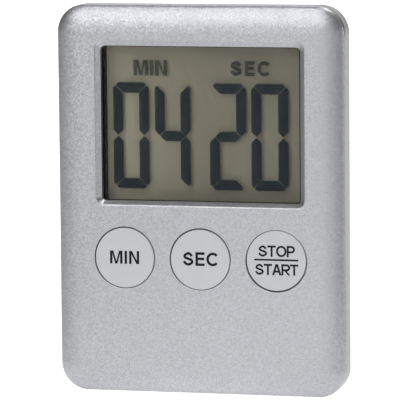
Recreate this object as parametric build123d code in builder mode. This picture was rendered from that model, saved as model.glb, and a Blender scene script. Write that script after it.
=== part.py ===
"""Digital kitchen timer: a slim card-shaped case with a large LCD and three push buttons.

Frame: +Z up, the display faces -Y, +X to the right when facing the display.
The origin is the centre of the bottom edge. Depths are measured back from the front face.
"""
from build123d import *
import math
import os

# ---- case -------------------------------------------------------------------------------
CASE_W = 64.7
CASE_H = 85.95
CASE_T = 10.0
CORNER_R = 6.2
PILLOW_W = 6.0
PILLOW_D = 1.7
SEAM_DEPTH = 2.2
SEAM_CHAMFER = 0.2
FRONT_WALL = 1.6
RIM_INSET = 3.0
SIDE_WALL = 1.5
REAR_WALL_DEPTH = 8.5
REAR_FILLET = 4.0
TONGUE_CLEARANCE = 0.1
TONGUE_T = 0.9
TONGUE_DEPTH = 3.6

# ---- display window and lens -------------------------------------------------------------
WINDOW_W = 47.2
WINDOW_H = 36.5
WINDOW_R = 1.9
WINDOW_EDGE_R = 0.5
WINDOW_Z = 59.85
# The bevel is wider above the window than below it.
WINDOW_OUTLINE_RISE = 0.2
SIGHT_DROP = 0.1
WINDOW_BEVEL = 1.1
WINDOW_BEVEL_DEPTH = 1.05
SIGHT_W = WINDOW_W - 2 * WINDOW_BEVEL
SIGHT_H = WINDOW_H - 2 * WINDOW_BEVEL
SIGHT_R = 1.0
LENS_SEAT_DEPTH = 2.2
LENS_SEAT_W = 49.6
LENS_SEAT_H = 38.6
LENS_RIB_W = 48.2
LENS_RIB_H = 37.2
LENS_RIB_DEPTH = 3.2
LENS_W = 48.0
LENS_H = 37.0
LENS_R = 1.2
LENS_T = 0.9
TAPE_T = 0.1

# ---- liquid crystal display --------------------------------------------------------------
FRAME_W = 49.2
FRAME_H = 40.0
FRAME_Z = 59.35
FRAME_CORNER_R = 1.0
FRAME_DEPTH = 3.3
FRAME_LIP_T = 0.7
APERTURE_W = 43.6
APERTURE_H = 34.0
APERTURE_Z = 59.6
APERTURE_R = 0.6
GLASS_W = 47.0
GLASS_H = 38.0
GLASS_Z = 59.25
FRONT_GLASS_T = 0.55
REAR_GLASS_T = 1.1
GLASS_GAP = 0.05
GLASS_FIT = 0.1
CONTACT_LEDGE = 1.9
POLARISER_T = 0.2
REFLECTOR_T = 0.2
ZEBRA_W = 42.0
ZEBRA_H = 1.3

# ---- circuit board -----------------------------------------------------------------------
BOARD_DEPTH = 6.2
BOARD_T = 0.8
BOARD_W = 57.0
BOARD_Z0 = 19.75
BOARD_Z1 = 79.55
BOARD_CORNER_R = 1.0
BOARD_BOSS_NOTCH_R = 2.5
BOARD_NOTCH_GAP = 0.5
BLOB_MID = (-17.0, 50.25)
BLOB_R = 4.6
BLOB_T = 1.1
BLOB_EDGE_R = 0.9
CRYSTAL_MID = (14.5, 43.25)
CRYSTAL_W = 3.2
CRYSTAL_H = 1.5
CRYSTAL_T = 0.9
CHIP_W = 1.6
CHIP_H = 0.8
CHIP_T = 0.7
CHIP_STEP = 3.0
CAPACITOR_MID = (13.5, 51.25)
CAPACITORS = 3
RESISTOR_MID = (19.0, 50.25)
RESISTORS = 4

# ---- push buttons and keypad -------------------------------------------------------------
BUTTON_Z = 30.1
BUTTON_PITCH = 17.15
BUTTON_HOLE_R = 6.88
HOLE_EDGE_R = 0.12
BUTTON_R = 6.7
BUTTON_TOP_DEPTH = 0.05
BUTTON_EDGE_R = 0.25
# How far each cap rests above its hole's centre, within the play of its flange.
BUTTON_REST = (-0.07, -0.1, 0.1)
FLANGE_R = 7.5
FLANGE_DEPTH = 1.75
FLANGE_T = 0.8
COLLAR_IN_R = 7.65
COLLAR_OUT_R = 8.5
COLLAR_DEPTH = 2.6
KEY_W = 1.2
KEY_FIT = 0.15
STEM_R = 1.7
STEM_DEPTH = 4.0
DOME_BASE_R = 2.6
DOME_TOP_R = 1.7
DOME_TOP_T = 1.08
DOME_WALL = 0.35
DOME_GAP = 0.02
MAT_T = 0.4
MAT_W = 48.0
MAT_Z0 = 27.25
MAT_Z1 = 36.65
PILL_R = 1.15
PILL_T = 0.28

# ---- screws ------------------------------------------------------------------------------
CASE_SCREW_X = 27.15
CASE_SCREW_Z = (5.8, 80.15)
BOSS_R = 1.9
BOSS_DEPTH = 5.0
REAR_POST_R = 2.3
SCREW_R = 0.85
SCREW_FIT = 0.03
SCREW_CLEARANCE = 0.1
SCREW_HEAD_R = 1.5
SCREW_HEAD_T = 1.0
HEAD_SEAT_DEPTH = 8.2
COUNTERBORE_R = 1.7
CASE_SCREW_TIP = 2.6
BOARD_SCREW_X = 26.6
BOARD_SCREW_Z = (22.45, 70.25)
POST_R = 1.7
BOARD_SCREW_R = 0.7
BOARD_HEAD_R = 1.3
BOARD_HEAD_T = 0.8
BOARD_SCREW_TIP = 3.0
CROSS_L = 1.5
CROSS_W = 0.4
CROSS_DEPTH = 0.5

# ---- button cell and its bay -------------------------------------------------------------
CELL_Z = 13.0
CELL_R = 5.8
CELL_T = 5.4
CELL_CAP_R = 4.9
CELL_CAP_T = 0.35
CELL_DEPTH = 3.2
WELL_IN_R = 6.05
WELL_OUT_R = 6.9
WELL_DEPTH = 2.5
WELL_FLOOR_DEPTH = 2.9
CUP_IN_R = 9.5
CUP_OUT_R = 10.4
SHELF_DEPTH = 4.6
SHELF_T = 0.7
CONTACT_T = 0.2
CONTACT_W = 2.6
CONTACT_X = 3.0
CONTACT_SLOT_W = 3.4
CONTACT_SLOT_H = 3.0
CONTACT_SLOT_T = 0.7
LEAF_DEPTH = 3.05
LEAF_Z0 = 9.0
LEAF_TOP_DEPTH = 4.1
RISE_Z = 23.4
SIDE_LEAF_Z = 18.75
SIDE_LEAF_DEPTH = 7.0
SIDE_RUN_DEPTH = 5.65
TAB_Z0 = 24.2
TAB_Z1 = 26.2

# ---- battery door ------------------------------------------------------------------------
DOOR_R = 7.9
DOOR_FIT = 0.1
DOOR_T = 1.3
SKIRT_OUT_R = 7.8
SKIRT_IN_R = 6.7
SKIRT_DEPTH = 7.5
LUG_R = 9.1
LUG_T = 0.85
LUG_ANGLE = 28.0
LUG_ENTRY_ANGLE = 32.0
DOOR_TURN = 45.0
COIN_SLOT_L = 11.0
COIN_SLOT_W = 1.8
COIN_SLOT_D = 0.7
MARK_DEPTH = 0.2
MARK_RADIUS = 10.3
MARK_R = 0.6
MARK_RING_R = 0.3
ARROW_Z = 6.3
ARROW_W = 1.6
PLUS_Z = 3.9
PLUS_L = 2.2
PLUS_W = 0.45

# ---- stand -------------------------------------------------------------------------------
STAND_W = 16.0
STAND_T = 1.5
STAND_PIVOT_Z = 33.0
STAND_PIVOT_DEPTH = 9.2
STAND_TOP_Z = 64.0
STAND_TIP_R = 3.0
STAND_FIT = 0.15
STAND_RECESS_DEPTH = 8.3
STAND_RECESS_Z0 = 31.5
STAND_FLOOR_T = 0.9
STAND_BED_MARGIN = 1.0
STAND_GROOVE_W = 9.0
STAND_GROOVE_H = 0.8
STAND_GROOVE_D = 0.3
STAND_GROOVES = 3
STAND_GROOVE_STEP = 1.8
PIVOT_R = 0.5
PIVOT_L = 1.2
PIVOT_FIT = 0.05
FINGER_R = 5.5
FINGER_OFFSET = 1.8

# ---- magnets -----------------------------------------------------------------------------
MAGNET_R = 6.0
MAGNET_T = 1.45
MAGNET_X = 17.2
MAGNET_Z = 70.6
MAGNET_FIT = 0.1
MAGNET_POCKET_DEPTH = 8.5
MAGNET_FLOOR_T = 0.8
MAGNET_WALL = 1.0

# ---- sounder -----------------------------------------------------------------------------
PIEZO_X = 20.6
PIEZO_Z = 14.0
PIEZO_R = 7.5
PIEZO_T = 0.2
CERAMIC_R = 5.0
CERAMIC_T = 0.2
PIEZO_SEAT_DEPTH = 8.0
PIEZO_SEAT_W = 0.8
SOUND_HOLE_R = 0.65
SOUND_RING_R = 3.0
SOUND_HOLES = 6
LEAD_R = 0.25
LEAD_FIT = 0.03
LEAD_BOW = 0.1
LEAD_START_X = 1.8
LEAD_LAP = 2.6

BUTTONS = [(-BUTTON_PITCH, BUTTON_Z), (0, BUTTON_Z), (BUTTON_PITCH, BUTTON_Z)]
BUTTON_NAMES = ["min", "sec", "start_stop"]
CASE_SCREWS = [(x, z) for x in (-CASE_SCREW_X, CASE_SCREW_X) for z in CASE_SCREW_Z]
BOARD_SCREWS = [(x, z) for x in (-BOARD_SCREW_X, BOARD_SCREW_X) for z in BOARD_SCREW_Z]
MAGNETS = [(-MAGNET_X, MAGNET_Z), (MAGNET_X, MAGNET_Z)]
CASE_MID = (0, CASE_H / 2)
WINDOW_MID = (0, WINDOW_Z)
OUTLINE_MID = (0, WINDOW_Z + WINDOW_OUTLINE_RISE)
SIGHT_MID = (0, WINDOW_Z - SIGHT_DROP)
CELL_MID = (0, CELL_Z)
PIEZO_MID = (PIEZO_X, PIEZO_Z)

os.makedirs("parts", exist_ok=True)


def at_depth(depth):
    """The sketch plane parallel to the front face and this far behind it."""
    return Plane.XZ.offset(CASE_T / 2 - depth)


def side_plane(x):
    """A sketch plane across the case: its x axis is the height, its y axis the depth."""
    return Plane(origin=(x, -CASE_T / 2, 0), x_dir=(0, 0, 1), z_dir=(-1, 0, 0))


def sector(mid, outer, inner, angle, span, depth, back, mode=Mode.ADD):
    """A piece of a ring between two depths, centred on this angle."""
    with BuildSketch(at_depth(depth)) as profile:
        with BuildLine():
            far = CenterArc(mid, outer, angle - span / 2, span)
            near = CenterArc(mid, inner, angle - span / 2, span)
            Line(far @ 0, near @ 0)
            Line(far @ 1, near @ 1)
        make_face()
    extrude(profile.sketch, amount=depth - back, mode=mode)


def strip(x, points):
    """A bent metal strip, from (height, depth) points along its middle."""
    with BuildSketch(side_plane(x)) as profile:
        with BuildLine():
            Polyline(*points)
        trace(line_width=CONTACT_T)
    extrude(profile.sketch, amount=CONTACT_W / 2, both=True)


def screws(places, head_r, head_back, head_t, shank_r, tip):
    """Cross-head screws entering from the back, with their heads' seats at one depth."""
    seat = head_back - head_t
    discs(places, head_r, seat, head_back)
    fillet(edges().group_by(Axis.Y)[-1], head_t / 4)
    discs(places, shank_r, tip, seat)
    for place in places:
        block(place, CROSS_L, CROSS_W, head_back - CROSS_DEPTH, head_back, Mode.SUBTRACT)
        block(place, CROSS_W, CROSS_L, head_back - CROSS_DEPTH, head_back, Mode.SUBTRACT)


def lead(start, bend, end):
    """A thin insulated wire through three points."""
    with BuildLine() as path:
        Spline(start, bend, end)
    with BuildSketch(Plane(origin=path.line @ 0, z_dir=path.line % 0)) as section:
        Circle(LEAD_R)
    sweep(section.sketch, path=path.line)


def ring_slab(mid, outer, inner, depth, back, mode=Mode.ADD):
    """A flat ring between two depths, round its centre."""
    with BuildSketch(at_depth(depth)) as profile:
        with Locations(mid):
            Circle(outer)
            Circle(inner, mode=Mode.SUBTRACT)
    extrude(profile.sketch, amount=depth - back, mode=mode)


def discs(places, radius, depth, back, mode=Mode.ADD):
    """Equal discs between two depths, at these places on the face."""
    with BuildSketch(at_depth(depth)) as profile:
        with Locations(*places):
            Circle(radius)
    extrude(profile.sketch, amount=depth - back, mode=mode)


def slab(mid, width, height, corner, depth, back, mode=Mode.ADD):
    """A rounded rectangular block between two depths."""
    with BuildSketch(at_depth(depth)) as profile:
        with Locations(mid):
            RectangleRounded(width, height, corner)
    extrude(profile.sketch, amount=depth - back, mode=mode)


def block(mid, width, height, depth, back, mode=Mode.ADD):
    """A plain rectangular block between two depths."""
    with BuildSketch(at_depth(depth)) as profile:
        with Locations(mid):
            Rectangle(width, height)
    extrude(profile.sketch, amount=depth - back, mode=mode)


def save(builder, name):
    """Label the part and write its STEP file."""
    builder.part.label = name
    export_step(builder.part, f"parts/{name}.step")


# ---- front cover: pillowed face, bevelled window, button holes, bosses ---------------------
with BuildPart() as front_cover:
    slab(CASE_MID, CASE_W, CASE_H, CORNER_R, 0, SEAM_DEPTH)
    chamfer(front_cover.faces().sort_by(Axis.Y)[-1].edges(), SEAM_CHAMFER)
    rim = front_cover.faces().sort_by(Axis.Y)[0].outer_wire()
    with BuildSketch(Plane.XY.offset(CASE_H / 2)):
        with BuildLine():
            crown_centre = (CASE_W / 2 - PILLOW_W, PILLOW_D - CASE_T / 2)
            crown = EllipticalCenterArc(crown_centre, PILLOW_W, PILLOW_D, 270, arc_size=90)
            Polyline(
                crown @ 1,
                (CASE_W / 2 + PILLOW_D, PILLOW_D - CASE_T / 2),
                (CASE_W / 2 + PILLOW_D, -CASE_T / 2 - PILLOW_D),
                (CASE_W / 2 - PILLOW_W, -CASE_T / 2 - PILLOW_D),
                crown @ 0,
            )
        make_face()
    sweep(path=rim, mode=Mode.SUBTRACT)
    cavity_w = CASE_W - 2 * RIM_INSET
    cavity_h = CASE_H - 2 * RIM_INSET
    cavity_r = CORNER_R - RIM_INSET
    slab(CASE_MID, cavity_w, cavity_h, cavity_r, FRONT_WALL, SEAM_DEPTH, Mode.SUBTRACT)
    inset = SIDE_WALL + TONGUE_CLEARANCE
    with BuildSketch(at_depth(SEAM_DEPTH)):
        with Locations(CASE_MID):
            RectangleRounded(CASE_W - 2 * inset, CASE_H - 2 * inset, CORNER_R - inset)
            RectangleRounded(
                CASE_W - 2 * (inset + TONGUE_T),
                CASE_H - 2 * (inset + TONGUE_T),
                CORNER_R - inset - TONGUE_T,
                mode=Mode.SUBTRACT,
            )
    extrude(amount=SEAM_DEPTH - TONGUE_DEPTH)
    block(WINDOW_MID, LENS_SEAT_W, LENS_SEAT_H, FRONT_WALL, LENS_RIB_DEPTH)
    block(WINDOW_MID, LENS_RIB_W, LENS_RIB_H, LENS_SEAT_DEPTH, LENS_RIB_DEPTH, Mode.SUBTRACT)
    with BuildSketch(at_depth(0)):
        with Locations(OUTLINE_MID):
            RectangleRounded(WINDOW_W, WINDOW_H, WINDOW_R)
    with BuildSketch(at_depth(WINDOW_BEVEL_DEPTH)):
        with Locations(SIGHT_MID):
            RectangleRounded(SIGHT_W, SIGHT_H, SIGHT_R)
    loft(mode=Mode.SUBTRACT)
    slab(SIGHT_MID, SIGHT_W, SIGHT_H, SIGHT_R, WINDOW_BEVEL_DEPTH, LENS_RIB_DEPTH,
         Mode.SUBTRACT)
    face = front_cover.faces().filter_by(Axis.Y).sort_by(Axis.Y)[0]
    fillet(face.inner_wires()[0].edges(), WINDOW_EDGE_R)
    for middle in BUTTONS:
        ring_slab(middle, COLLAR_OUT_R, COLLAR_IN_R, FRONT_WALL, COLLAR_DEPTH)
        key_mid = (middle[0], middle[1] + COLLAR_OUT_R - KEY_W / 2)
        block(key_mid, KEY_W + 2 * KEY_FIT, 2 * KEY_W, FRONT_WALL, COLLAR_DEPTH, Mode.SUBTRACT)
    discs(BUTTONS, BUTTON_HOLE_R, 0, FRONT_WALL, Mode.SUBTRACT)
    hole_rims = front_cover.edges().filter_by(GeomType.CIRCLE).group_by(Axis.Y)[0]
    fillet(hole_rims.filter_by(lambda rim: rim.radius == BUTTON_HOLE_R), HOLE_EDGE_R)
    discs(CASE_SCREWS, BOSS_R, FRONT_WALL, BOSS_DEPTH)
    case_pilot_r = SCREW_R + SCREW_FIT
    discs(CASE_SCREWS, case_pilot_r, CASE_SCREW_TIP - SCREW_FIT, BOSS_DEPTH, Mode.SUBTRACT)
    discs(BOARD_SCREWS, POST_R, FRONT_WALL, BOARD_DEPTH)
    board_pilot_r = BOARD_SCREW_R + SCREW_FIT
    discs(BOARD_SCREWS, board_pilot_r, BOARD_SCREW_TIP - SCREW_FIT, BOARD_DEPTH, Mode.SUBTRACT)
save(front_cover, "front_cover")

# ---- rear cover: shell, battery bay, stand bed, magnet pockets, sounder seat ----------------
with BuildPart() as rear_cover:
    slab(CASE_MID, CASE_W, CASE_H, CORNER_R, SEAM_DEPTH, CASE_T)
    fillet(rear_cover.faces().sort_by(Axis.Y)[-1].edges(), REAR_FILLET)
    chamfer(rear_cover.faces().sort_by(Axis.Y)[0].edges(), SEAM_CHAMFER)
    inner_w = CASE_W - 2 * SIDE_WALL
    inner_h = CASE_H - 2 * SIDE_WALL
    inner_r = CORNER_R - SIDE_WALL
    slab(CASE_MID, inner_w, inner_h, inner_r, SEAM_DEPTH, REAR_WALL_DEPTH, Mode.SUBTRACT)
    cavity_floor = rear_cover.faces().filter_by(Axis.Y).sort_by(Axis.Y)[-2]
    fillet(cavity_floor.edges(), REAR_FILLET - SIDE_WALL)
    discs([CELL_MID], CUP_IN_R, SEAM_DEPTH, REAR_WALL_DEPTH, Mode.SUBTRACT)

    shelf_back = SHELF_DEPTH + SHELF_T
    ring_slab(CELL_MID, CUP_OUT_R, CUP_IN_R, SHELF_DEPTH, REAR_WALL_DEPTH)
    ring_slab(CELL_MID, CUP_OUT_R, WELL_IN_R, SHELF_DEPTH, shelf_back)
    ring_slab(CELL_MID, WELL_OUT_R, WELL_IN_R, WELL_DEPTH, shelf_back)
    discs([CELL_MID], WELL_OUT_R, WELL_DEPTH, WELL_FLOOR_DEPTH)
    leaf_slot = (-CONTACT_X, CELL_Z + WELL_IN_R)
    leaf_slot_back = WELL_FLOOR_DEPTH + CONTACT_SLOT_T
    block(leaf_slot, CONTACT_SLOT_W, CONTACT_SLOT_H, WELL_FLOOR_DEPTH, leaf_slot_back,
          Mode.SUBTRACT)
    run_slot = (CONTACT_X, CELL_Z + CUP_IN_R)
    block(run_slot, CONTACT_SLOT_W, CONTACT_SLOT_H, shelf_back, shelf_back + CONTACT_SLOT_T,
          Mode.SUBTRACT)
    discs([CELL_MID], DOOR_R + DOOR_FIT, REAR_WALL_DEPTH, CASE_T, Mode.SUBTRACT)
    for angle in (-DOOR_TURN, 180 - DOOR_TURN):
        sector(CELL_MID, LUG_R + DOOR_FIT, DOOR_R - DOOR_FIT, angle, LUG_ENTRY_ANGLE,
               REAR_WALL_DEPTH, CASE_T, Mode.SUBTRACT)

    recess_w = STAND_W + 2 * STAND_FIT
    recess_top = STAND_TOP_Z + STAND_FIT
    recess_mid = (0, (STAND_RECESS_Z0 + recess_top) / 2)
    recess_h = recess_top - STAND_RECESS_Z0
    finger_mid = (0, STAND_TOP_Z + FINGER_OFFSET)
    bed_front = STAND_RECESS_DEPTH - STAND_FLOOR_T
    bed_w = recess_w + 2 * STAND_BED_MARGIN
    bed_h = recess_h + 2 * STAND_BED_MARGIN
    slab(recess_mid, bed_w, bed_h, STAND_BED_MARGIN, bed_front, REAR_WALL_DEPTH)
    discs([finger_mid], FINGER_R + STAND_BED_MARGIN, bed_front, REAR_WALL_DEPTH)
    with BuildSketch(at_depth(STAND_RECESS_DEPTH)) as recess:
        with Locations(recess_mid):
            Rectangle(recess_w, recess_h)
        fillet(recess.vertices().group_by(Axis.Y)[-1], STAND_TIP_R)
    extrude(amount=STAND_RECESS_DEPTH - CASE_T, mode=Mode.SUBTRACT)
    discs([finger_mid], FINGER_R, STAND_RECESS_DEPTH, CASE_T, Mode.SUBTRACT)
    with BuildSketch(side_plane(0)):
        with Locations((STAND_PIVOT_Z, STAND_PIVOT_DEPTH)):
            Circle(PIVOT_R + PIVOT_FIT)
    socket_x = STAND_W / 2 + PIVOT_L + PIVOT_FIT
    extrude(amount=socket_x, both=True, mode=Mode.SUBTRACT)

    pocket_front = MAGNET_POCKET_DEPTH - MAGNET_FLOOR_T
    discs(MAGNETS, MAGNET_R + MAGNET_WALL, pocket_front, REAR_WALL_DEPTH)
    discs(MAGNETS, MAGNET_R + MAGNET_FIT, MAGNET_POCKET_DEPTH, CASE_T, Mode.SUBTRACT)

    ring_slab(PIEZO_MID, PIEZO_R, PIEZO_R - PIEZO_SEAT_W, PIEZO_SEAT_DEPTH, REAR_WALL_DEPTH)
    discs([PIEZO_MID], SOUND_HOLE_R, REAR_WALL_DEPTH, CASE_T, Mode.SUBTRACT)
    with BuildSketch(at_depth(REAR_WALL_DEPTH)):
        with Locations(PIEZO_MID):
            with PolarLocations(SOUND_RING_R, SOUND_HOLES):
                Circle(SOUND_HOLE_R)
    extrude(amount=REAR_WALL_DEPTH - CASE_T, mode=Mode.SUBTRACT)

    discs(CASE_SCREWS, REAR_POST_R, BOSS_DEPTH, REAR_WALL_DEPTH)
    discs(CASE_SCREWS, SCREW_R + SCREW_CLEARANCE, BOSS_DEPTH, CASE_T, Mode.SUBTRACT)
    discs(CASE_SCREWS, COUNTERBORE_R, HEAD_SEAT_DEPTH, CASE_T, Mode.SUBTRACT)

    mark_front = CASE_T - MARK_DEPTH
    discs([(0, CELL_Z + MARK_RADIUS)], MARK_R, mark_front, CASE_T, Mode.SUBTRACT)
    open_angle = math.radians(90 - DOOR_TURN)
    open_mid = (MARK_RADIUS * math.cos(open_angle), CELL_Z + MARK_RADIUS * math.sin(open_angle))
    ring_slab(open_mid, MARK_R, MARK_RING_R, mark_front, CASE_T, Mode.SUBTRACT)
save(rear_cover, "rear_cover")

# ---- display stack, front to back -----------------------------------------------------------
lens_back = LENS_SEAT_DEPTH + TAPE_T + LENS_T
with BuildPart() as lens_tape:
    slab(WINDOW_MID, LENS_W, LENS_H, LENS_R, LENS_SEAT_DEPTH, LENS_SEAT_DEPTH + TAPE_T)
    slab(SIGHT_MID, SIGHT_W, SIGHT_H, SIGHT_R, LENS_SEAT_DEPTH, LENS_SEAT_DEPTH + TAPE_T,
         Mode.SUBTRACT)
save(lens_tape, "lens_tape")

with BuildPart() as display_lens:
    slab(WINDOW_MID, LENS_W, LENS_H, LENS_R, LENS_SEAT_DEPTH + TAPE_T, lens_back)
save(display_lens, "display_lens")

glass_mid = (0, GLASS_Z)
lip_back = FRAME_DEPTH + FRAME_LIP_T
with BuildPart() as lcd_frame:
    slab((0, FRAME_Z), FRAME_W, FRAME_H, FRAME_CORNER_R, FRAME_DEPTH, BOARD_DEPTH)
    block(glass_mid, GLASS_W + 2 * GLASS_FIT, GLASS_H + 2 * GLASS_FIT, lip_back, BOARD_DEPTH,
          Mode.SUBTRACT)
    aperture_mid = (0, APERTURE_Z)
    slab(aperture_mid, APERTURE_W, APERTURE_H, APERTURE_R, FRAME_DEPTH, lip_back, Mode.SUBTRACT)
save(lcd_frame, "lcd_frame")

cell_h = GLASS_H - CONTACT_LEDGE
cell_mid = (0, GLASS_Z + CONTACT_LEDGE / 2)
film_w = GLASS_W - 2 * GLASS_FIT
film_h = cell_h - 2 * GLASS_FIT
front_glass_depth = lip_back + POLARISER_T
front_glass_back = front_glass_depth + FRONT_GLASS_T
rear_glass_depth = front_glass_back + GLASS_GAP
reflector_depth = rear_glass_depth + REAR_GLASS_T
with BuildPart() as lcd_front_polariser:
    block(cell_mid, film_w, film_h, lip_back, front_glass_depth)
save(lcd_front_polariser, "lcd_front_polariser")

with BuildPart() as lcd_front_glass:
    block(glass_mid, GLASS_W, GLASS_H, front_glass_depth, front_glass_back)
save(lcd_front_glass, "lcd_front_glass")

with BuildPart() as lcd_rear_glass:
    block(cell_mid, GLASS_W, cell_h, rear_glass_depth, reflector_depth)
save(lcd_rear_glass, "lcd_rear_glass")

with BuildPart() as lcd_reflector:
    block(cell_mid, film_w, film_h, reflector_depth, reflector_depth + REFLECTOR_T)
save(lcd_reflector, "lcd_reflector")

ledge_mid = (0, GLASS_Z - GLASS_H / 2 + CONTACT_LEDGE / 2)
with BuildPart() as zebra_strip:
    block(ledge_mid, ZEBRA_W, ZEBRA_H, front_glass_back, BOARD_DEPTH)
save(zebra_strip, "zebra_strip")

# ---- circuit board and its components ---------------------------------------------------------
board_back = BOARD_DEPTH + BOARD_T
with BuildPart() as circuit_board:
    board_mid = (0, (BOARD_Z0 + BOARD_Z1) / 2)
    slab(board_mid, BOARD_W, BOARD_Z1 - BOARD_Z0, BOARD_CORNER_R, BOARD_DEPTH, board_back)
    discs([CELL_MID], CUP_OUT_R + BOARD_NOTCH_GAP, BOARD_DEPTH, board_back, Mode.SUBTRACT)
    discs(CASE_SCREWS, BOARD_BOSS_NOTCH_R, BOARD_DEPTH, board_back, Mode.SUBTRACT)
    clearance_r = BOARD_SCREW_R + SCREW_CLEARANCE
    discs(BOARD_SCREWS, clearance_r, BOARD_DEPTH, board_back, Mode.SUBTRACT)
save(circuit_board, "circuit_board")

with BuildPart() as chip_blob:
    discs([BLOB_MID], BLOB_R, board_back, board_back + BLOB_T)
    fillet(chip_blob.faces().sort_by(Axis.Y)[-1].edges(), BLOB_EDGE_R)
save(chip_blob, "chip_blob")

with BuildPart() as crystal:
    block(CRYSTAL_MID, CRYSTAL_W, CRYSTAL_H, board_back, board_back + CRYSTAL_T)
save(crystal, "crystal")

with BuildPart() as chip_capacitors:
    with BuildSketch(at_depth(board_back)):
        with Locations(CAPACITOR_MID):
            with GridLocations(CHIP_STEP, CHIP_STEP, 1, CAPACITORS):
                Rectangle(CHIP_W, CHIP_H)
    extrude(amount=-CHIP_T)
save(chip_capacitors, "chip_capacitors")

with BuildPart() as chip_resistors:
    with BuildSketch(at_depth(board_back)):
        with Locations(RESISTOR_MID):
            with GridLocations(CHIP_STEP, CHIP_STEP, 1, RESISTORS):
                Rectangle(CHIP_W, CHIP_H)
    extrude(amount=-CHIP_T / 2)
save(chip_resistors, "chip_resistors")

# ---- keypad: rubber mat, one dome and one carbon pill under each button -------------------------
mat_front = BOARD_DEPTH - MAT_T
dome_front = STEM_DEPTH + DOME_GAP
pill_front = dome_front + DOME_TOP_T
with BuildPart() as keypad_mat:
    block((0, (MAT_Z0 + MAT_Z1) / 2), MAT_W, MAT_Z1 - MAT_Z0, mat_front, BOARD_DEPTH)
    discs(BUTTONS, DOME_BASE_R - DOME_WALL, mat_front, BOARD_DEPTH, Mode.SUBTRACT)
save(keypad_mat, "keypad_mat")

for name, middle, rest in zip(BUTTON_NAMES, BUTTONS, BUTTON_REST):
    with BuildPart() as dome:
        with BuildSketch(at_depth(dome_front)):
            with Locations(middle):
                Circle(DOME_TOP_R)
        with BuildSketch(at_depth(mat_front)):
            with Locations(middle):
                Circle(DOME_BASE_R)
        loft()
        with BuildSketch(at_depth(pill_front)):
            with Locations(middle):
                Circle(DOME_TOP_R - DOME_WALL)
        with BuildSketch(at_depth(mat_front)):
            with Locations(middle):
                Circle(DOME_BASE_R - DOME_WALL)
        loft(mode=Mode.SUBTRACT)
    save(dome, f"{name}_dome")

    with BuildPart() as pill:
        discs([middle], PILL_R, pill_front, pill_front + PILL_T)
    save(pill, f"{name}_pill")

    cap_mid = (middle[0], middle[1] + rest)
    with BuildPart() as button:
        discs([cap_mid], BUTTON_R, BUTTON_TOP_DEPTH, FLANGE_DEPTH)
        fillet(button.faces().sort_by(Axis.Y)[0].edges(), BUTTON_EDGE_R)
        discs([cap_mid], FLANGE_R, FLANGE_DEPTH, FLANGE_DEPTH + FLANGE_T)
        key_mid = (middle[0], middle[1] + COLLAR_OUT_R - KEY_W / 2)
        block(key_mid, KEY_W, KEY_W, FLANGE_DEPTH, FLANGE_DEPTH + FLANGE_T)
        discs([middle], STEM_R, FLANGE_DEPTH + FLANGE_T, STEM_DEPTH)
    save(button, f"{name}_button")

# ---- button cell, its contacts and its coin-turned door ------------------------------------------
with BuildPart() as button_cell:
    discs([CELL_MID], CELL_R, CELL_DEPTH + CELL_CAP_T, CELL_DEPTH + CELL_T)
    fillet(button_cell.edges().filter_by(GeomType.CIRCLE), CELL_CAP_T)
    discs([CELL_MID], CELL_CAP_R, CELL_DEPTH, CELL_DEPTH + CELL_CAP_T)
save(button_cell, "button_cell")

tab_depth = BOARD_DEPTH - CONTACT_T / 2
with BuildPart() as negative_contact:
    strip(-CONTACT_X, [
        (LEAF_Z0, LEAF_DEPTH),
        (CELL_Z + WELL_OUT_R + CONTACT_T, LEAF_DEPTH),
        (CELL_Z + WELL_OUT_R + 2 * CONTACT_T, LEAF_TOP_DEPTH),
        (RISE_Z, LEAF_TOP_DEPTH),
        (TAB_Z0, tab_depth),
        (TAB_Z1, tab_depth),
    ])
save(negative_contact, "negative_contact")

with BuildPart() as positive_contact:
    strip(CONTACT_X, [
        (SIDE_LEAF_Z, SIDE_LEAF_DEPTH),
        (SIDE_LEAF_Z, SIDE_RUN_DEPTH),
        (RISE_Z, SIDE_RUN_DEPTH),
        (TAB_Z0, tab_depth),
        (TAB_Z1, tab_depth),
    ])
save(positive_contact, "positive_contact")

with BuildPart() as battery_door:
    door_front = CASE_T - DOOR_T
    discs([CELL_MID], DOOR_R, door_front, CASE_T)
    ring_slab(CELL_MID, SKIRT_OUT_R, SKIRT_IN_R, SKIRT_DEPTH, door_front)
    for angle in (0, 180):
        sector(CELL_MID, LUG_R, SKIRT_OUT_R - DOOR_FIT, angle, LUG_ANGLE, SKIRT_DEPTH,
               SKIRT_DEPTH + LUG_T)
    block(CELL_MID, COIN_SLOT_L, COIN_SLOT_W, CASE_T - COIN_SLOT_D, CASE_T, Mode.SUBTRACT)
    plus_mid = (0, CELL_Z + PLUS_Z)
    block(plus_mid, PLUS_L, PLUS_W, mark_front, CASE_T, Mode.SUBTRACT)
    block(plus_mid, PLUS_W, PLUS_L, mark_front, CASE_T, Mode.SUBTRACT)
    with BuildSketch(at_depth(mark_front)) as arrow:
        with Locations((0, CELL_Z + ARROW_Z)):
            RegularPolygon(ARROW_W / 2, 3, rotation=90)
    extrude(arrow.sketch, amount=-MARK_DEPTH, mode=Mode.SUBTRACT)
save(battery_door, "battery_door")

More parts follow.
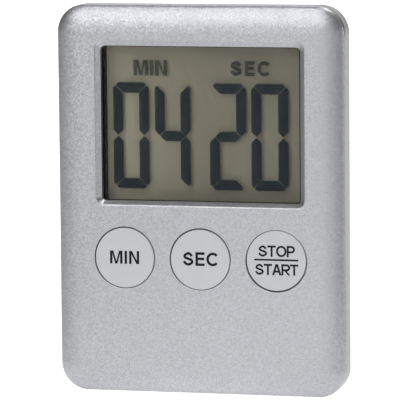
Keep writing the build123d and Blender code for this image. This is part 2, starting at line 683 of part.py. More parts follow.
# ---- fold-out stand --------------------------------------------------------------------------------
with BuildPart() as stand:
    stand_front = STAND_PIVOT_DEPTH - STAND_T / 2
    stand_back = STAND_PIVOT_DEPTH + STAND_T / 2
    leg_mid = (0, (STAND_PIVOT_Z + STAND_TOP_Z) / 2)
    block(leg_mid, STAND_W, STAND_TOP_Z - STAND_PIVOT_Z, stand_front, stand_back)
    fillet(stand.edges().filter_by(Axis.Y).group_by(Axis.Z)[-1], STAND_TIP_R)
    with BuildSketch(side_plane(0)):
        with Locations((STAND_PIVOT_Z, STAND_PIVOT_DEPTH)):
            Circle(STAND_T / 2)
    extrude(amount=STAND_W / 2, both=True)
    with BuildSketch(side_plane(0)):
        with Locations((STAND_PIVOT_Z, STAND_PIVOT_DEPTH)):
            Circle(PIVOT_R)
    extrude(amount=STAND_W / 2 + PIVOT_L, both=True)
    for groove in range(STAND_GROOVES):
        groove_mid = (0, STAND_TOP_Z - STAND_TIP_R - groove * STAND_GROOVE_STEP)
        block(groove_mid, STAND_GROOVE_W, STAND_GROOVE_H, stand_back - STAND_GROOVE_D,
              stand_back, Mode.SUBTRACT)
save(stand, "stand")

# ---- magnets, sounder, leads, screws -----------------------------------------------------------------
with BuildPart() as magnets:
    discs(MAGNETS, MAGNET_R, MAGNET_POCKET_DEPTH, MAGNET_POCKET_DEPTH + MAGNET_T)
save(magnets, "magnets")

with BuildPart() as piezo_disc:
    discs([PIEZO_MID], PIEZO_R, PIEZO_SEAT_DEPTH - PIEZO_T, PIEZO_SEAT_DEPTH)
save(piezo_disc, "piezo_disc")

ceramic_front = PIEZO_SEAT_DEPTH - PIEZO_T - CERAMIC_T
with BuildPart() as piezo_ceramic:
    discs([PIEZO_MID], CERAMIC_R, ceramic_front, PIEZO_SEAT_DEPTH - PIEZO_T)
save(piezo_ceramic, "piezo_ceramic")

lead_y = PIEZO_SEAT_DEPTH - PIEZO_T - CASE_T / 2 - LEAD_R - LEAD_FIT
board_y = board_back - CASE_T / 2 + LEAD_R + LEAD_FIT
with BuildPart() as lead_red:
    lead(
        (PIEZO_X - LEAD_START_X, lead_y - CERAMIC_T, PIEZO_Z + LEAD_START_X),
        (PIEZO_X - 2 * LEAD_START_X, lead_y - CERAMIC_T - LEAD_BOW, PIEZO_Z + 2 * LEAD_START_X),
        (PIEZO_X - 2 * LEAD_START_X, board_y, BOARD_Z0 + LEAD_LAP),
    )
save(lead_red, "lead_red")

with BuildPart() as lead_black:
    lead(
        (PIEZO_X - CERAMIC_R - LEAD_START_X / 2, lead_y, PIEZO_Z),
        (PIEZO_X - CERAMIC_R - LEAD_START_X, lead_y - LEAD_BOW, PIEZO_Z + CERAMIC_R / 2),
        (PIEZO_X - CERAMIC_R - LEAD_START_X, board_y, BOARD_Z0 + LEAD_LAP),
    )
save(lead_black, "lead_black")

with BuildPart() as case_screws:
    screws(CASE_SCREWS, SCREW_HEAD_R, HEAD_SEAT_DEPTH + SCREW_HEAD_T, SCREW_HEAD_T, SCREW_R,
           CASE_SCREW_TIP)
save(case_screws, "case_screws")

with BuildPart() as board_screws:
    screws(BOARD_SCREWS, BOARD_HEAD_R, board_back + BOARD_HEAD_T, BOARD_HEAD_T, BOARD_SCREW_R,
           BOARD_SCREW_TIP)
save(board_screws, "board_screws")
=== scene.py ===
import math

import bmesh
import bpy
from mathutils import Matrix, Vector


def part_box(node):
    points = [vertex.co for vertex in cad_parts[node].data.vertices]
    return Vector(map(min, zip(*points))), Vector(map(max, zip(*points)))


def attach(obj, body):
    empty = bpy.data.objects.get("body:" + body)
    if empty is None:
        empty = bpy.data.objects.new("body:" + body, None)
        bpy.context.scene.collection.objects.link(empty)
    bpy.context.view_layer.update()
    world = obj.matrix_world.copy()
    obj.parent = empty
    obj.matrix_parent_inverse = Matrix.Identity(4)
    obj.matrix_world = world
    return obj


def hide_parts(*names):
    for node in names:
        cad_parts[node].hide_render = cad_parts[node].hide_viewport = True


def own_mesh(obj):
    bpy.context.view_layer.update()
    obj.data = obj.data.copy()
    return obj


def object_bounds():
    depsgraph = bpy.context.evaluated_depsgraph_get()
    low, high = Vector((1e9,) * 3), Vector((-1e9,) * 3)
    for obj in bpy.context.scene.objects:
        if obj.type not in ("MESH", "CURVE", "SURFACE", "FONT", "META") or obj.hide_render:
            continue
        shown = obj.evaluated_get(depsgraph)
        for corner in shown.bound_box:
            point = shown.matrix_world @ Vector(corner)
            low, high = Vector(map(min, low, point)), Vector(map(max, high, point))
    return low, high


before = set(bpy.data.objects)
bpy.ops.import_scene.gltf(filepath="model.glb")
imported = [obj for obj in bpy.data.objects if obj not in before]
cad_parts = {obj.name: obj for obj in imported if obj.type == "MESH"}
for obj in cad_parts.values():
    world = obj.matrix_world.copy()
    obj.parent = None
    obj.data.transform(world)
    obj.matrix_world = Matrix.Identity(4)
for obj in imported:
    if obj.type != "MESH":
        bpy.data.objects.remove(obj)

MM = 0.001
CAD_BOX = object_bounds()

# ---- camera: angles in degrees --------------------------------------------------------------
AIM_X = 0.1 * MM
AIM_HEIGHT = 43.25 * MM
CAMERA_YAW = 14.1
CAMERA_PITCH = 6.9
CAMERA_ROLL = -0.5
CAMERA_DISTANCE = 787.0 * MM
CAMERA_LENS = 323.0

# ---- display, in millimetres from the window's middle ---------------------------------------
# The liquid crystal is in the hairline gap between the two glasses.
# Each digit: its lit segments, its left and its right.
DIGITS = (("abcdef", -20.75, -12.42), ("bcfg", -11.25, -3.0),
          ("abdeg", 1.22, 9.62), ("abcdef", 10.59, 19.09))
DIGIT_LOW = -14.95
DIGIT_HIGH = 8.75
SEGMENT_T = 2.42
SEGMENT_CHAMFER = 1.25
SEGMENT_GAP = 0.15
FILM_MARGIN = 0.004
# Each word: left, right, bottom and top. Strokes are fractions of a letter's height.
DISPLAY_WORDS = (("MIN", -15.97, -8.27, 10.22, 13.67), ("SEC", 6.03, 15.1, 10.37, 13.67))
LEGEND_STROKE = 0.235

# ---- button legends, in millimetres from each button's axis ---------------------------------
INK_T = 0.015
INK_STROKE = 0.186
SMALL_STROKE = INK_STROKE * 0.95
BUTTON_WORDS = {
    "min": (("MIN", -3.38, 3.28, -1.42, 1.48, INK_STROKE),),
    "sec": (("SEC", -3.9, 4.15, -1.47, 1.57, INK_STROKE),),
    "start_stop": (("STOP", -4.0, 4.2, 0.96, 3.44, SMALL_STROKE),
                   ("START", -4.75, 4.95, -3.08, -0.62, SMALL_STROKE)),
}
DIVIDER = ((-4.95, 0.08), (4.95, 0.08), (4.95, 0.47), (-4.95, 0.47))

# ---- rubber domes: fractions of the base radius for R and WALL, of the height for the rest --
DOME_CROWN_R = 0.65
DOME_CROWN_FLAT_R = 0.94 * DOME_CROWN_R
DOME_WALL = 0.135
DOME_CROWN_WALL = 0.8 * DOME_WALL
DOME_CROWN_T = 0.606
DOME_SHOULDER = 0.08
DOME_FLARE_POWER = 1.6
DOME_FLARE_STEPS = 8
DOME_TURN_STEPS = 48

# ---- floor, lamps and sky -------------------------------------------------------------------
FLOOR_HALF = 2.0
# The floor's glow falls with distance ahead, in an oval, and rises behind the object.
GLOW_OVAL = (4.0, 0.6, 0.0)
GLOW_NEAR, GLOW_FAR, GLOW_BEHIND = 0.8, 0.1, 1.1
GLOW_START, GLOW_FAR_AT, GLOW_BEHIND_AT = 0.03, 0.45, 0.3
SKY_SEEN, SKY_LIGHT = 1.0, 0.03
LAMP_DISTANCE = 1.4
# Each lamp: degrees round to +X, degrees up, width, height and power.
LAMPS = {
    "key": (-16, 26, 0.9, 0.5, 4.7),
    "low_front": (-16, 11, 0.9, 0.3, 2.5),
    "high_front": (-12, 50, 0.5, 0.5, 3.4),
    "left_high": (-70, 50, 0.5, 0.5, 0.5),
    "right_low": (76, 6, 0.5, 0.5, 1.6),
    "right_high": (90, 50, 0.5, 0.5, 0.6),
    "overhead": (60, 72, 0.5, 0.5, 5.7),
    "top_back": (180, 70, 0.9, 0.5, 4.5),
    "back_left": (-155, 30, 0.7, 0.6, 2.8),
    "back_right": (165, 35, 0.7, 0.6, 1.6),
}


# ---- material nodes -------------------------------------------------------------------------
class Graph:
    """A material under construction: its Principled shader, and shorthand for what feeds it."""

    def __init__(self, name, **plain):
        self.material = bpy.data.materials.new(name)
        self.material.use_nodes = True
        self.nodes = self.material.node_tree.nodes
        self.links = self.material.node_tree.links
        self.shader = self.nodes["Principled BSDF"]
        for socket, value in plain.items():
            self.shader.inputs[socket.replace("_", " ")].default_value = value
        self.place = self.add("TexCoord").outputs["Object"]

    def add(self, kind, settings=None, **inputs):
        """A new node, its settings, and its inputs as plain values or links."""
        node = self.nodes.new("ShaderNode" + kind)
        for key, value in (settings or {}).items():
            setattr(node, key, value)
        for key, value in inputs.items():
            self.feed(node.inputs[key.replace("_", " ")], value)
        return node

    def feed(self, socket, value):
        if isinstance(value, bpy.types.NodeSocket):
            self.links.new(value, socket)
        else:
            socket.default_value = value

    def noise(self, size, detail=3.0, stretch=None):
        """Cloudy noise from 0 to 1 with blobs about this many millimetres across."""
        vector = self.place
        if stretch:
            mapping = self.add("Mapping", Vector=self.place, Scale=stretch)
            vector = mapping.outputs["Vector"]
        node = self.add("TexNoise", Vector=vector, Scale=1 / (size * MM), Detail=detail)
        return node.outputs["Fac"]

    def cells(self, size):
        """Voronoi cells about this many millimetres across."""
        return self.add("TexVoronoi", Vector=self.place, Scale=1 / (size * MM))

    def span(self, value, low, high, start=0.3, end=0.7):
        """value between start and end, mapped on low to high."""
        node = self.add("MapRange", Value=value)
        for key, end_value in zip(("From Min", "From Max", "To Min", "To Max"),
                                  (start, end, low, high)):
            self.feed(node.inputs[key], end_value)
        return node.outputs["Result"]

    def ramp(self, value, *stops):
        """A colour ramp through (position, colour) stops."""
        node = self.add("ValToRGB", Fac=value)
        elements = node.color_ramp.elements
        while len(elements) < len(stops):
            elements.new(0.5)
        for element, (position, colour) in zip(elements, stops):
            element.position = position
            element.color = (*colour, 1.0)
        return node.outputs["Color"]

    def mix(self, factor, a, b, blend="MIX"):
        """Two colours mixed. The node's colour sockets are inputs 6 and 7 and output 2."""
        node = self.add("Mix", {"data_type": "RGBA", "blend_type": blend})
        self.feed(node.inputs[0], factor)
        self.feed(node.inputs[6], a)
        self.feed(node.inputs[7], b)
        return node.outputs[2]

    def bump(self, height, depth, normal=None):
        """The surface raised by height times this many millimetres."""
        node = self.add("Bump", Height=height, Distance=depth * MM)
        if normal:
            self.feed(node.inputs["Normal"], normal)
        return node.outputs["Normal"]

    def finish(self, **links):
        for socket, value in links.items():
            self.feed(self.shader.inputs[socket.replace("_", " ")], value)
        return self.material


def tone(colour, factor):
    return tuple(channel * factor for channel in colour)


def moulded(name, colour, vary=0.05, cloud=6.0, rough=(0.4, 0.5), grain=0.3, depth=0.006,
            **plain):
    """Moulded, pressed or plated: faint clouding, uneven gloss and a fine grain."""
    g = Graph(name, **plain)
    clouds = g.noise(cloud, 4.0)
    fine = g.noise(grain, 5.0)
    colours = g.ramp(clouds, (0.3, tone(colour, 1 - vary)), (0.7, tone(colour, 1 + vary)))
    return g.finish(
        Base_Color=colours,
        Roughness=g.span(fine, *rough),
        Normal=g.bump(fine, depth),
    )


def flaked(name, colour, metallic, rough, flake, tilt, sparkle, **plain):
    """Lacquer or plastic with metal flakes: each flake has its own tilt and brightness."""
    g = Graph(name, Metallic=metallic, **plain)
    flakes = g.cells(flake)
    lean = g.add("VectorMath", {"operation": "SUBTRACT"})
    g.feed(lean.inputs[0], flakes.outputs["Color"])
    lean.inputs[1].default_value = (0.5, 0.5, 0.5)
    scaled = g.add("VectorMath", {"operation": "SCALE"}, Scale=tilt)
    g.feed(scaled.inputs[0], lean.outputs[0])
    peel = g.bump(g.noise(1.2, 2.0), 0.004)
    leaned = g.add("VectorMath", {"operation": "ADD"})
    g.feed(leaned.inputs[0], peel)
    g.feed(leaned.inputs[1], scaled.outputs[0])
    normal = g.add("VectorMath", {"operation": "NORMALIZE"})
    g.feed(normal.inputs[0], leaned.outputs[0])
    shade = g.add("SeparateColor", Color=flakes.outputs["Color"]).outputs["Red"]
    colours = g.ramp(shade, (0.0, tone(colour, 1 - sparkle)), (0.5, colour),
                     (1.0, tone(colour, 1 + sparkle)))
    return g.finish(
        Base_Color=colours,
        Roughness=g.span(g.noise(3.0), rough - 0.02, rough + 0.02),
        Normal=normal.outputs[0],
    )


def clear(name, colour, rough, smear, **plain):
    """Clear sheet with faint smears in its gloss."""
    g = Graph(name, Transmission_Weight=1.0, Base_Color=(*colour, 1.0), **plain)
    return g.finish(Roughness=g.span(g.noise(smear, 2.0), rough, rough + 0.02))


def film(name, colour, alpha, rough):
    """A thin layer that lets part of the light straight through."""
    g = Graph(name, Alpha=alpha, Specular_IOR_Level=0.0)
    grain = g.noise(0.4, 3.0)
    return g.finish(
        Base_Color=g.ramp(grain, (0.3, tone(colour, 0.9)), (0.7, tone(colour, 1.1))),
        Roughness=g.span(grain, rough, rough + 0.05),
    )


def pearly(name, colour, painted_light_edge, node):
    """The display's backing: an olive-grey film with a fine grain, with painted light that makes
    it paler towards its left side, where the window wall shades it.
    """
    g = Graph(name, Specular_IOR_Level=0.3)
    grain = g.noise(0.12, 2.0)
    low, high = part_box(node)
    across = g.add("SeparateXYZ", Vector=g.place).outputs["X"]
    # Painted light: the colour pales from the middle to the left side, brightening the backing
    # where the window wall keeps light off it.
    painted_light_fade = g.span(across, 0.0, 1.0, low.x, (low.x + high.x) / 2)
    base = g.ramp(painted_light_fade, (0.0, painted_light_edge), (1.0, colour))
    shade = g.ramp(grain, (0.3, (0.9, 0.9, 0.9)), (0.7, (1.0, 1.0, 1.0)))
    return g.finish(
        Base_Color=g.mix(1.0, base, shade, "MULTIPLY"),
        Roughness=g.span(grain, 0.55, 0.7),
        Normal=g.bump(grain, 0.002),
    )


def laminate(name):
    """Solder mask with copper tracks raised under it."""
    g = Graph(name, Specular_IOR_Level=0.5)
    tracks = g.add("TexBrick", {"offset": 0.5}, Vector=g.place, Scale=260.0)
    tracks.inputs["Mortar Size"].default_value = 0.03
    tracks.inputs["Mortar Smooth"].default_value = 0.2
    fine = g.noise(0.5, 4.0)
    mask = g.ramp(fine, (0.3, (0.008, 0.075, 0.028)), (0.7, (0.012, 0.1, 0.038)))
    copper = g.ramp(fine, (0.3, (0.02, 0.15, 0.05)), (0.7, (0.03, 0.19, 0.065)))
    return g.finish(
        Base_Color=g.mix(tracks.outputs["Fac"], mask, copper),
        Roughness=g.span(fine, 0.28, 0.4),
        Normal=g.bump(tracks.outputs["Fac"], 0.03, g.bump(fine, 0.004)),
    )


def brushed(name, colour, rough, stretch):
    """Metal with drawn or turned lines."""
    g = Graph(name, Metallic=1.0)
    lines = g.noise(0.8, 6.0, stretch)
    clouds = g.noise(2.0, 4.0)
    return g.finish(
        Base_Color=g.ramp(clouds, (0.3, tone(colour, 0.88)), (0.7, tone(colour, 1.06))),
        Roughness=g.span(lines, rough, rough + 0.15),
        Normal=g.bump(lines, 0.004),
    )


SILVER = flaked("silver_lacquer", (0.392, 0.395, 0.417), 0.8, 0.37, 0.26, 0.12, 0.13,
                Coat_Weight=0.15, Coat_Roughness=0.3)
GREY = moulded("grey_shell", (0.44, 0.443, 0.448), 0.02, 8.0, (0.42, 0.5), 0.28, 0.012)
BUTTON = moulded("button_cap", (0.475, 0.48, 0.502), 0.02, 5.0, (0.4, 0.5), 0.24, 0.008)
BLACK = moulded("black_frame", (0.006, 0.006, 0.0055), 0.1, 3.0, (0.45, 0.6), 0.2, 0.006,
                Specular_IOR_Level=0.12)
INK = moulded("printed_ink", (0.009, 0.009, 0.01), 0.1, 0.6, (0.4, 0.55), 0.1, 0.001,
              Specular_IOR_Level=0.1)
LENS = clear("lens_acrylic", (1.0, 1.0, 1.0), 0.01, 12.0, IOR=1.15)
GLASS = film("display_glass", (0.3, 0.33, 0.31), 0.006, 0.1)
POLARISER = film("polariser_film", (0.05, 0.05, 0.045), 0.06, 0.3)
CRYSTAL_ON = film("liquid_crystal_on", (0.004, 0.012, 0.022), 0.66, 0.5)
CRYSTAL_FAINT = film("liquid_crystal_legend", (0.01, 0.018, 0.018), 0.47, 0.5)
# The second colour is painted light, the paler tone at the backing's left side.
REFLECTOR = pearly("reflector_film", (0.385, 0.361, 0.266), (0.575, 0.54, 0.395),
                   "lcd_reflector")
TAPE = moulded("tape_foam", (0.02, 0.02, 0.02), 0.1, 1.0, (0.7, 0.9), 0.15, 0.02)
ZEBRA = moulded("zebra_rubber", (0.35, 0.25, 0.22), 0.1, 1.0, (0.5, 0.65), 0.1, 0.004)
BOARD = laminate("board_laminate")
EPOXY = moulded("epoxy", (0.006, 0.006, 0.006), 0.2, 2.0, (0.18, 0.3), 0.5, 0.02)
CAN = brushed("component_can", (0.7, 0.7, 0.68), 0.22, (1.0, 1.0, 8.0))
CERAMIC_TAN = moulded("component_ceramic", (0.42, 0.3, 0.17), 0.08, 0.6, (0.4, 0.55), 0.1,
                      0.003)
CERAMIC_BLACK = moulded("component_glaze", (0.012, 0.012, 0.014), 0.1, 0.6, (0.25, 0.4), 0.1,
                        0.002)
SILICONE = moulded("silicone", (0.55, 0.54, 0.5), 0.04, 3.0, (0.5, 0.62), 0.25, 0.008,
                   Subsurface_Weight=0.3, Subsurface_Scale=0.4 * MM)
CARBON = moulded("carbon_rubber", (0.01, 0.01, 0.01), 0.2, 0.6, (0.6, 0.8), 0.08, 0.004)
CELL = brushed("cell_steel", (0.68, 0.67, 0.64), 0.2, (1.0, 6.0, 1.0))
CONTACT = brushed("spring_contact", (0.72, 0.71, 0.66), 0.24, (1.0, 1.0, 6.0))
NICKEL = moulded("magnet_nickel", (0.42, 0.41, 0.39), 0.06, 2.0, (0.2, 0.32), 0.3, 0.003,
                 Metallic=1.0)
BRASS = brushed("piezo_brass", (0.7, 0.52, 0.22), 0.25, (1.0, 1.0, 5.0))
CERAMIC = moulded("piezo_ceramic", (0.62, 0.6, 0.54), 0.05, 1.5, (0.35, 0.5), 0.2, 0.003)
RED_WIRE = moulded("red_insulation", (0.4, 0.012, 0.01), 0.06, 2.0, (0.3, 0.42), 0.2, 0.003)
BLACK_WIRE = moulded("black_insulation", (0.01, 0.01, 0.01), 0.1, 2.0, (0.3, 0.42), 0.2, 0.003)
SCREW = brushed("screw_steel", (0.5, 0.5, 0.51), 0.28, (4.0, 1.0, 4.0))

NODE_MATERIALS = {
    SILVER: ("front_cover",),
    GREY: ("rear_cover", "battery_door", "stand"),
    BUTTON: ("min_button", "sec_button", "start_stop_button"),
    BLACK: ("lcd_frame",),
    LENS: ("display_lens",),
    GLASS: ("lcd_front_glass", "lcd_rear_glass"),
    POLARISER: ("lcd_front_polariser",),
    REFLECTOR: ("lcd_reflector",),
    TAPE: ("lens_tape",),
    ZEBRA: ("zebra_strip",),
    BOARD: ("circuit_board",),
    EPOXY: ("chip_blob",),
    CAN: ("crystal",),
    CERAMIC_TAN: ("chip_capacitors",),
    CERAMIC_BLACK: ("chip_resistors",),
    SILICONE: ("keypad_mat",),
    CARBON: ("min_pill", "sec_pill", "start_stop_pill"),
    CELL: ("button_cell",),
    CONTACT: ("negative_contact", "positive_contact"),
    NICKEL: ("magnets",),
    BRASS: ("piezo_disc",),
    CERAMIC: ("piezo_ceramic",),
    RED_WIRE: ("lead_red",),
    BLACK_WIRE: ("lead_black",),
    SCREW: ("case_screws", "board_screws"),
}
for material, names in NODE_MATERIALS.items():
    for name in names:
        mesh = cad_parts[name].data
        mesh.materials.clear()
        mesh.materials.append(material)

# Light on its way to the display's backing isn't stopped by the layers over it.
DISPLAY_COVERS = ("display_lens", "lcd_front_glass", "lcd_rear_glass", "lcd_front_polariser",
                  "lcd_frame", "lens_tape")
for name in DISPLAY_COVERS:
    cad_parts[name].visible_shadow = False
    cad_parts[name].visible_diffuse = False


# ---- flat lettering and segments ------------------------------------------------------------
def offset(points, distance, closed):
    """The points moved sideways along a path, keeping the ribbon's width at bends."""
    count = len(points)
    moved = []
    for i, (x, z) in enumerate(points):
        before = points[(i - 1) % count] if closed or i > 0 else None
        after = points[(i + 1) % count] if closed or i < count - 1 else None
        normals = []
        for a, b in ((before, (x, z)), ((x, z), after)):
            if a is not None and b is not None:
                way = Vector((b[0] - a[0], b[1] - a[1])).normalized()
                normals.append(Vector((-way.y, way.x)))
        normal = sum(normals, Vector((0, 0)))
        normal *= len(normals) / normal.length_squared
        moved.append((x + normal.x * distance, z + normal.y * distance))
    return moved


def ribbon(points, width, closed=False):
    """The quads of a ribbon along a path."""
    left = offset(points, width / 2, closed)
    right = offset(points, -width / 2, closed)
    steps = range(len(points) if closed else len(points) - 1)
    n = len(points)
    return [[left[i], left[(i + 1) % n], right[(i + 1) % n], right[i]] for i in steps]


def arc(cx, cz, rx, rz, start, sweep, steps=20):
    """Points along part of an ellipse, in degrees, anticlockwise from +X."""
    turns = [math.radians(start + sweep * i / steps) for i in range(steps + 1)]
    return [(cx + rx * math.cos(a), cz + rz * math.sin(a)) for a in turns]


def smooth(points, steps=6):
    """A Catmull-Rom curve through the points."""
    ends = [points[0], *points, points[-1]]
    out = []
    for i in range(1, len(ends) - 2):
        p = [Vector(q) for q in ends[i - 1:i + 3]]
        for k in range(steps):
            t = k / steps
            v = (2 * p[1] + (p[2] - p[0]) * t + (2 * p[0] - 5 * p[1] + 4 * p[2] - p[3]) * t * t
                 + (3 * p[1] - p[0] - 3 * p[2] + p[3]) * t ** 3) / 2
            out.append(tuple(v))
    return out + [points[-1]]


def letter(name, s):
    """(width, faces) of a capital one unit high with strokes s wide."""
    h = s / 2
    if name == "I":
        return s, [[(0, 0), (s, 0), (s, 1), (0, 1)]]
    if name == "M":
        w = 0.98
        return w, [[(0, 0), (s, 0), (s, 0.78), (w / 2 - 0.45 * s, 0), (w / 2 + 0.45 * s, 0),
                    (w - s, 0.78), (w - s, 0), (w, 0), (w, 1), (w - 1.4 * s, 1), (w / 2, 0.2),
                    (1.4 * s, 1), (0, 1)]]
    if name == "N":
        w = 0.79
        return w, [[(0, 0), (s, 0), (s, 0.74), (w - 1.15 * s, 0), (w, 0), (w, 1), (w - s, 1),
                    (w - s, 0.26), (1.15 * s, 1), (0, 1)]]
    if name == "E":
        w = 0.68
        return w, [[(0, 0), (w, 0), (w, s), (s, s), (s, 0.52 - h), (0.95 * w, 0.52 - h),
                    (0.95 * w, 0.52 + h), (s, 0.52 + h), (s, 1 - s), (w, 1 - s), (w, 1), (0, 1)]]
    if name == "T":
        w = 0.76
        return w, [[(w / 2 - h, 0), (w / 2 + h, 0), (w / 2 + h, 1 - s), (w, 1 - s), (w, 1),
                    (0, 1), (0, 1 - s), (w / 2 - h, 1 - s)]]
    if name == "A":
        w, foot = 0.86, 1.08 * s
        low, high = 0.24, 0.24 + s
        inner = (w / 2 - foot) / (1 - s * 0.9)
        return w, [[(0, 0), (foot, 0), (w / 2, 1 - 1.35 * s), (w - foot, 0), (w, 0),
                    (w / 2 + 0.62 * s, 1), (w / 2 - 0.62 * s, 1)],
                   [(foot + inner * low, low), (w - foot - inner * low, low),
                    (w - foot - inner * high, high), (foot + inner * high, high)]]
    if name in "PR":
        w = 0.74 if name == "P" else 0.8
        low = 0.44 if name == "P" else 0.46
        radius = (1 - h - low) / 2
        bowl = [(s, low), *arc(w - h - radius, low + radius, radius, radius, -90, 180),
                (s, 1 - h)]
        faces = [[(0, 0), (s, 0), (s, 1), (0, 1)], *ribbon(bowl, s)]
        if name == "R":
            faces.append([(w - 1.05 * s, 0), (w + 0.1 * s, 0), (w - 0.3, low - h + 0.01),
                          (w - 0.3 - 1.15 * s, low - h + 0.01)])
        return w, faces
    if name == "O":
        w = 0.95
        return w, ribbon(arc(w / 2, 0.5, w / 2 - h, 0.5 - h, 0, 350, 35), s, closed=True)
    if name == "C":
        w = 0.9
        return w, ribbon(arc(w * 0.53, 0.5, w * 0.53 - h, 0.5 - h, 40, 280, 30), s)
    if name == "S":
        w = 0.8
        spine = ((0.90, 0.72), (0.82, 0.86), (0.52, 1), (0.16, 0.87), (0.05, 0.74), (0.15, 0.61),
                 (0.5, 0.51), (0.85, 0.41), (0.97, 0.26), (0.85, 0.11), (0.48, 0), (0.12, 0.12),
                 (0, 0.3))
        inside = [(h + x * (w - s), h + z * (1 - s)) for x, z in spine]
        return w, ribbon(smooth(inside), s)
    raise ValueError(f"there is no letter {name}")


def word(text, left, right, low, high, stroke):
    """The faces of a word between these sides and heights, with even gaps."""
    height = high - low
    letters = [letter(name, stroke) for name in text]
    total = sum(width for width, _ in letters) * height
    gap = (right - left - total) / (len(text) - 1)
    faces, x = [], left
    for width, shapes in letters:
        faces += [[(x + u * height, low + v * height) for u, v in face] for face in shapes]
        x += width * height + gap
    return faces


def segments(lit, left, right, low, high):
    """The faces of a seven-segment digit's lit segments."""
    w, h, t, c = right - left, high - low, SEGMENT_T, SEGMENT_CHAMFER
    m = h / 2
    top = [(c, h), (c / 2, h - c / 2), (t, h - t), (w - t, h - t), (w - c / 2, h - c / 2),
           (w - c, h)]
    side = [(0, h - c), (0, m + t / 2), (t / 2, m), (t, m + t / 2), (t, h - t),
            (c / 2, h - c / 2)]
    bar = [(t / 2, m), (t, m - t / 2), (w - t, m - t / 2), (w - t / 2, m), (w - t, m + t / 2),
           (t, m + t / 2)]
    flip = {"x": lambda p: (w - p[0], p[1]), "z": lambda p: (p[0], h - p[1])}
    shapes = {
        "a": top, "f": side, "g": bar,
        "d": [flip["z"](p) for p in reversed(top)],
        "b": [flip["x"](p) for p in reversed(side)],
        "e": [flip["z"](p) for p in reversed(side)],
        "c": [flip["x"](flip["z"](p)) for p in side],
    }
    faces = []
    for name in lit:
        shrunk = offset(shapes[name], SEGMENT_GAP / 2, closed=True)
        faces.append([(left + x, low + z) for x, z in shrunk])
    return faces


# ---- new pieces -----------------------------------------------------------------------------
def add_object(name, data):
    made = bpy.data.objects.new(name, data)
    bpy.context.scene.collection.objects.link(made)
    return made


def add_piece(name, bm, material, body):
    """A finished bmesh as a piece that rides on a body."""
    bmesh.ops.recalc_face_normals(bm, faces=bm.faces)
    mesh = bpy.data.meshes.new(name)
    bm.to_mesh(mesh)
    bm.free()
    mesh.materials.append(material)
    piece = add_object(name, mesh)
    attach(piece, body)
    return piece


def plate(name, faces, origin, front, back, material, body):
    """Thin solid shapes parallel to the display, from faces in millimetres."""
    bm = bmesh.new()
    for face in faces:
        rings = [[bm.verts.new((origin.x + x * MM, y, origin.z + z * MM)) for x, z in face]
                 for y in (front, back)]
        bm.faces.new(rings[0])
        bm.faces.new(reversed(rings[1]))
        for i in range(len(face)):
            j = (i + 1) % len(face)
            bm.faces.new((rings[0][j], rings[0][i], rings[1][i], rings[1][j]))
    add_piece(name, bm, material, body)


def middle(node):
    low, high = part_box(node)
    return (low + high) / 2


film_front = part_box("lcd_front_glass")[1].y + FILM_MARGIN * MM
film_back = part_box("lcd_rear_glass")[0].y - FILM_MARGIN * MM
window = middle("display_lens")

digit_faces = []
for lit, left, right in DIGITS:
    digit_faces += segments(lit, left, right, DIGIT_LOW, DIGIT_HIGH)
plate("display_digits", digit_faces, window, film_front, film_back, CRYSTAL_ON, "case")
legend_faces = []
for spread in DISPLAY_WORDS:
    legend_faces += word(*spread, LEGEND_STROKE)
plate("display_legends", legend_faces, window, film_front, film_back, CRYSTAL_FAINT, "case")

for name, words in BUTTON_WORDS.items():
    faces = [face for spread in words for face in word(*spread)]
    if name == "start_stop":
        faces.append(DIVIDER)
    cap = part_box(f"{name}_button")[0].y
    axis = middle(f"{name}_button")
    axis.z = middle(f"{name}_pill").z
    plate(f"{name}_legend", faces, axis, cap - INK_T * MM, cap, INK, f"{name}_key")


def dome(name):
    """A ring wall that flares from a solid crown to its base, turned about the button's axis."""
    low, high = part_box(f"{name}_dome")
    mid = (low + high) / 2
    base_r = (high.x - low.x) / 2
    height = high.y - low.y
    crown_r, wall = base_r * DOME_CROWN_R, base_r * DOME_WALL
    crown_back = low.y + height * DOME_CROWN_T
    flare = []
    for i in range(DOME_FLARE_STEPS + 1):
        t = i / DOME_FLARE_STEPS
        flare.append((crown_r + (base_r - crown_r) * t ** DOME_FLARE_POWER,
                      low.y + height * (DOME_SHOULDER + (1 - DOME_SHOULDER) * t)))
    inner = [(r - wall, y) for r, y in reversed(flare) if y > crown_back]
    profile = [(0, low.y), (base_r * DOME_CROWN_FLAT_R, low.y), *flare, *inner,
               (crown_r - base_r * DOME_CROWN_WALL, crown_back), (0, crown_back)]
    bm = bmesh.new()
    verts = [bm.verts.new((mid.x + r, y, mid.z)) for r, y in profile]
    edges = [bm.edges.new(pair) for pair in zip(verts, verts[1:])]
    bmesh.ops.spin(bm, geom=verts + edges, cent=mid, axis=(0, 1, 0), angle=math.tau,
                   steps=DOME_TURN_STEPS, use_duplicate=False)
    bmesh.ops.remove_doubles(bm, verts=bm.verts, dist=1e-7)
    for face in bm.faces:
        face.smooth = True
    piece = add_piece(f"{name}_rubber_dome", bm, SILICONE, "case")
    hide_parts(f"{name}_dome")
    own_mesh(piece)


for name in BUTTON_WORDS:
    dome(name)


# ---- floor, lamps, sky and camera -----------------------------------------------------------
def toward(yaw, pitch):
    """The direction at this many degrees round to +X and up, seen from the object's front."""
    a, e = math.radians(yaw), math.radians(pitch)
    return Vector((math.sin(a) * math.cos(e), -math.cos(a) * math.cos(e), math.sin(e)))


aim = Vector((AIM_X, CAD_BOX[0].y, AIM_HEIGHT))
for name, (yaw, pitch, width, height, power) in LAMPS.items():
    data = bpy.data.lights.new(name, "AREA")
    data.shape = "RECTANGLE"
    data.size, data.size_y, data.energy = width, height, power
    way = toward(yaw, pitch)
    lamp = add_object(name, data)
    lamp.location = aim + way * LAMP_DISTANCE
    lamp.rotation_euler = way.to_track_quat("Z", "Y").to_euler()

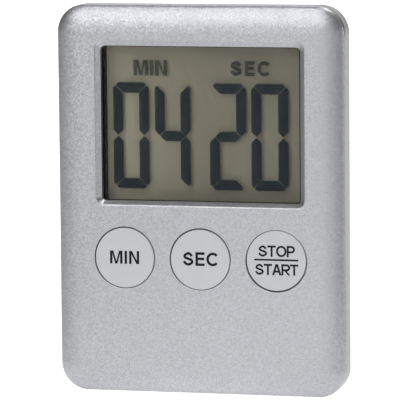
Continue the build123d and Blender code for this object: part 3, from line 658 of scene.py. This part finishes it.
g = Graph("white_sweep", Emission_Color=(1, 1, 1, 1), Specular_IOR_Level=0.1)
speck = g.noise(4.0, 4.0)
across_floor = g.add("SeparateXYZ", Vector=g.place)
oval = g.add("Mapping", Vector=g.place, Scale=GLOW_OVAL)
reach = g.add("VectorMath", {"operation": "LENGTH"})
g.feed(reach.inputs[0], oval.outputs[0])
ahead = g.span(reach.outputs["Value"], GLOW_NEAR, GLOW_FAR, GLOW_START, GLOW_FAR_AT)
glow = g.span(across_floor.outputs["Y"], ahead, GLOW_BEHIND, GLOW_START, GLOW_BEHIND_AT)
floor_material = g.finish(
    Base_Color=g.ramp(speck, (0.3, (0.86, 0.86, 0.86)), (0.7, (0.9, 0.9, 0.9))),
    Roughness=g.span(speck, 0.7, 0.8),
    Emission_Strength=glow,
)
floor_mesh = bpy.data.meshes.new("floor")
floor_mesh.from_pydata([(-FLOOR_HALF, -FLOOR_HALF, 0), (FLOOR_HALF, -FLOOR_HALF, 0),
                        (FLOOR_HALF, FLOOR_HALF, 0), (-FLOOR_HALF, FLOOR_HALF, 0)],
                       [], [(0, 1, 2, 3)])
floor_mesh.materials.append(floor_material)
add_object("floor", floor_mesh)

# The sky is white where the camera sees it, and gives little light.
world = bpy.data.worlds.new("studio")
bpy.context.scene.world = world
world.use_nodes = True
sky = world.node_tree.nodes["Background"]
sky.inputs["Color"].default_value = (1, 1, 1, 1)
seen = world.node_tree.nodes.new("ShaderNodeLightPath")
level = world.node_tree.nodes.new("ShaderNodeMapRange")
level.inputs["To Min"].default_value = SKY_LIGHT
level.inputs["To Max"].default_value = SKY_SEEN
world.node_tree.links.new(seen.outputs["Is Camera Ray"], level.inputs["Value"])
world.node_tree.links.new(level.outputs["Result"], sky.inputs["Strength"])

camera_data = bpy.data.cameras.new("camera")
camera_data.lens = CAMERA_LENS
camera = add_object("camera", camera_data)
back = toward(CAMERA_YAW, CAMERA_PITCH)
camera.location = aim + back * CAMERA_DISTANCE
turn = back.to_track_quat("Z", "Y").to_matrix().to_4x4()
roll = Matrix.Rotation(math.radians(CAMERA_ROLL), 4, "Z")
camera.rotation_euler = (turn @ roll).to_euler()
bpy.context.scene.camera = camera
bpy.context.scene.view_settings.view_transform = "Standard"
